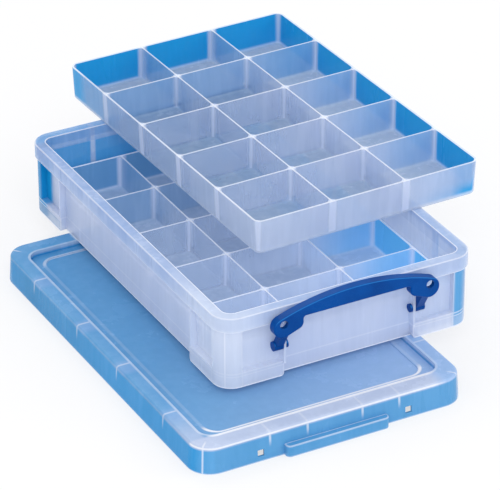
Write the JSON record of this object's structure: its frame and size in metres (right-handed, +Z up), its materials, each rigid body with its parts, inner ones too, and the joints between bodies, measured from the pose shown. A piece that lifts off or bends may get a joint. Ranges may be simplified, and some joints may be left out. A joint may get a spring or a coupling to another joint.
{
  "type": "plastic storage box",
  "caption": "Shallow clear plastic storage box with lift-out divided trays, a separate lid and swinging clip handles, shown opened out in a staggered stack.",
  "frame": {"origin": "centre of the whole staggered stack's footprint, on the ground", "axes": "+Z up, +Y along the long side of the box, away from the front handle, +X to the right"},
  "size_m": [0.3612, 0.514, 0.1266],
  "materials": {
    "clear_lid": "semi-clear moulded polypropylene, blue tint",
    "clear_box": "semi-clear moulded polypropylene, slightly frosted",
    "clear_tray": "clear moulded polypropylene",
    "blue_handle": "glossy dark blue moulding"
  },
  "bodies": {
    "lid": {"lid": "clear_lid"},
    "box": {"box_body": "clear_box"},
    "lower_tray": {"lower_tray": "clear_tray"},
    "upper_tray": {"upper_tray": "clear_tray"},
    "front_handle": {"front_handle": "blue_handle"},
    "rear_handle": {"rear_handle": "blue_handle"}
  },
  "joints": [
    {"name": "box_lift", "type": "slide", "parent": "lid", "child": "box", "axis": [0, 0, 1], "range_m": [0, 0.1]},
    {"name": "lower_tray_lift", "type": "slide", "parent": "box", "child": "lower_tray", "axis": [0, 0, 1], "range_m": [0, 0.08]},
    {"name": "upper_tray_lift", "type": "slide", "parent": "lower_tray", "child": "upper_tray", "axis": [0, 0, 1], "range_m": [0, 0.08]},
    {"name": "front_handle_swing", "type": "hinge", "parent": "box", "child": "front_handle", "pos_m": [0.0009, -0.17566, 0.0551], "axis": [1, 0, 0], "range_deg": [0, 100]},
    {"name": "rear_handle_swing", "type": "hinge", "parent": "box", "child": "rear_handle", "pos_m": [0.0009, 0.19234, 0.0551], "axis": [1, 0, 0], "range_deg": [0, 70]}
  ]
}
